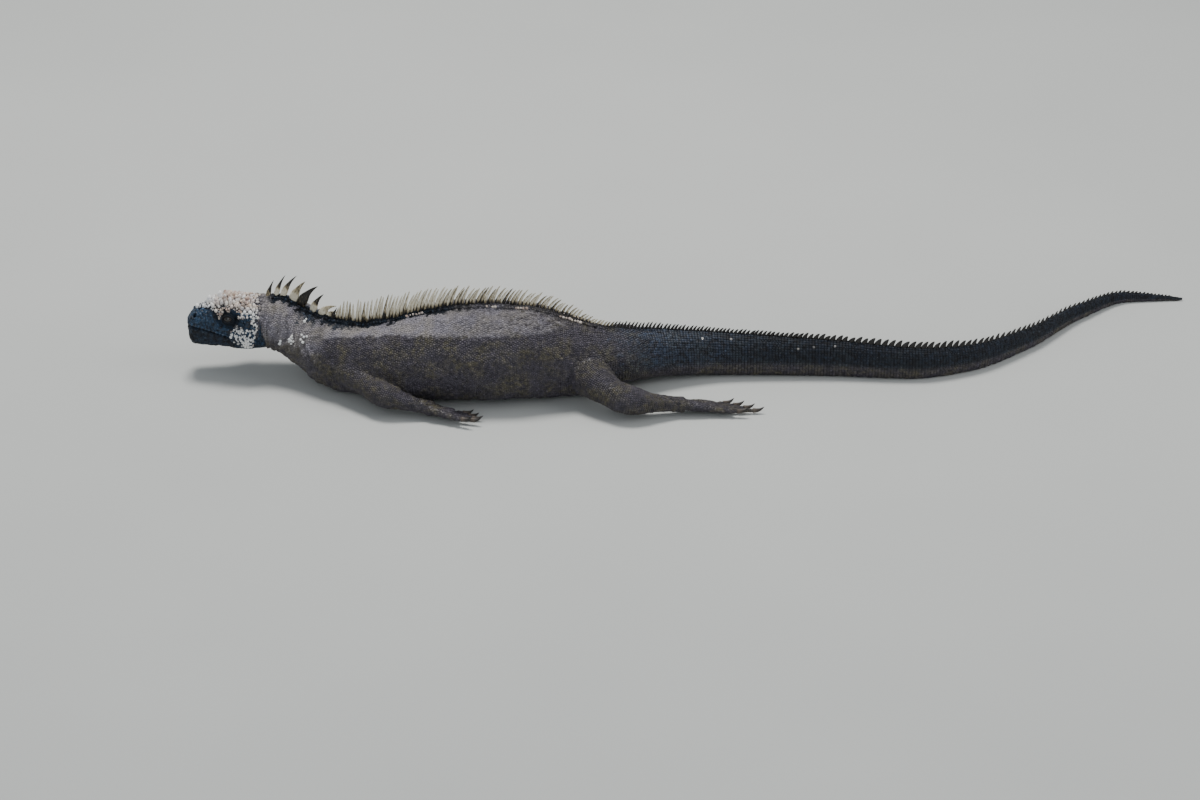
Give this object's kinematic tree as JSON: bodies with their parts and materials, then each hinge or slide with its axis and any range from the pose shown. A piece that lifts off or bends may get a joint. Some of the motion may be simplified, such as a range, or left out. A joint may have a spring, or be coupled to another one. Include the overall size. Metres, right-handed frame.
{
  "type": "marine iguana",
  "caption": "Life-size marine iguana lying on its belly in its swimming pose, with a spiny crest, a knobbed blunt head, swept-back legs and a long flattened tail.",
  "frame": {"origin": "on the floor under the middle of the model's box", "axes": "the head points to -X, the animal's left side to -Y and its back to +Z"},
  "size_m": [1.0652, 0.295, 0.1211],
  "materials": {
    "head_skin": "dry knobbly scaled skin, crusted with pale salt",
    "jaw_skin": "wet dark scaled skin",
    "trunk_skin": "dry granular scaled skin, grey over brown",
    "tail_skin": "wet keeled scales in rings",
    "eye": "wet glossy eye, dark brown",
    "eardrum": "thin smooth skin",
    "leg_skin": "wet granular scaled skin",
    "claw": "smooth dark horn"
  },
  "bodies": {
    "root": {"head": "head_skin", "lower_jaw": "jaw_skin", "neck": "trunk_skin", "torso": "trunk_skin", "tail_1": "tail_skin", "tail_2": "tail_skin", "tail_3": "tail_skin", "tail_4": "tail_skin", "tail_5": "tail_skin", "tail_6": "tail_skin", "tail_7": "tail_skin", "eye_left": "eye", "eardrum_left": "eardrum", "upper_arm_left": "leg_skin", "forearm_left": "leg_skin", "thigh_left": "leg_skin", "shank_left": "leg_skin", "hand_left": "leg_skin", "claw_hand_left_1": "claw", "claw_hand_left_2": "claw", "claw_hand_left_3": "claw", "claw_hand_left_4": "claw", "claw_hand_left_5": "claw", "foot_left": "leg_skin", "claw_foot_left_1": "claw", "claw_foot_left_2": "claw", "claw_foot_left_3": "claw", "claw_foot_left_4": "claw", "claw_foot_left_5": "claw", "eye_right": "eye", "eardrum_right": "eardrum", "upper_arm_right": "leg_skin", "forearm_right": "leg_skin", "thigh_right": "leg_skin", "shank_right": "leg_skin", "hand_right": "leg_skin", "claw_hand_right_1": "claw", "claw_hand_right_2": "claw", "claw_hand_right_3": "claw", "claw_hand_right_4": "claw", "claw_hand_right_5": "claw", "foot_right": "leg_skin", "claw_foot_right_1": "claw", "claw_foot_right_2": "claw", "claw_foot_right_3": "claw", "claw_foot_right_4": "claw", "claw_foot_right_5": "claw"}
  },
  "joints": []
}
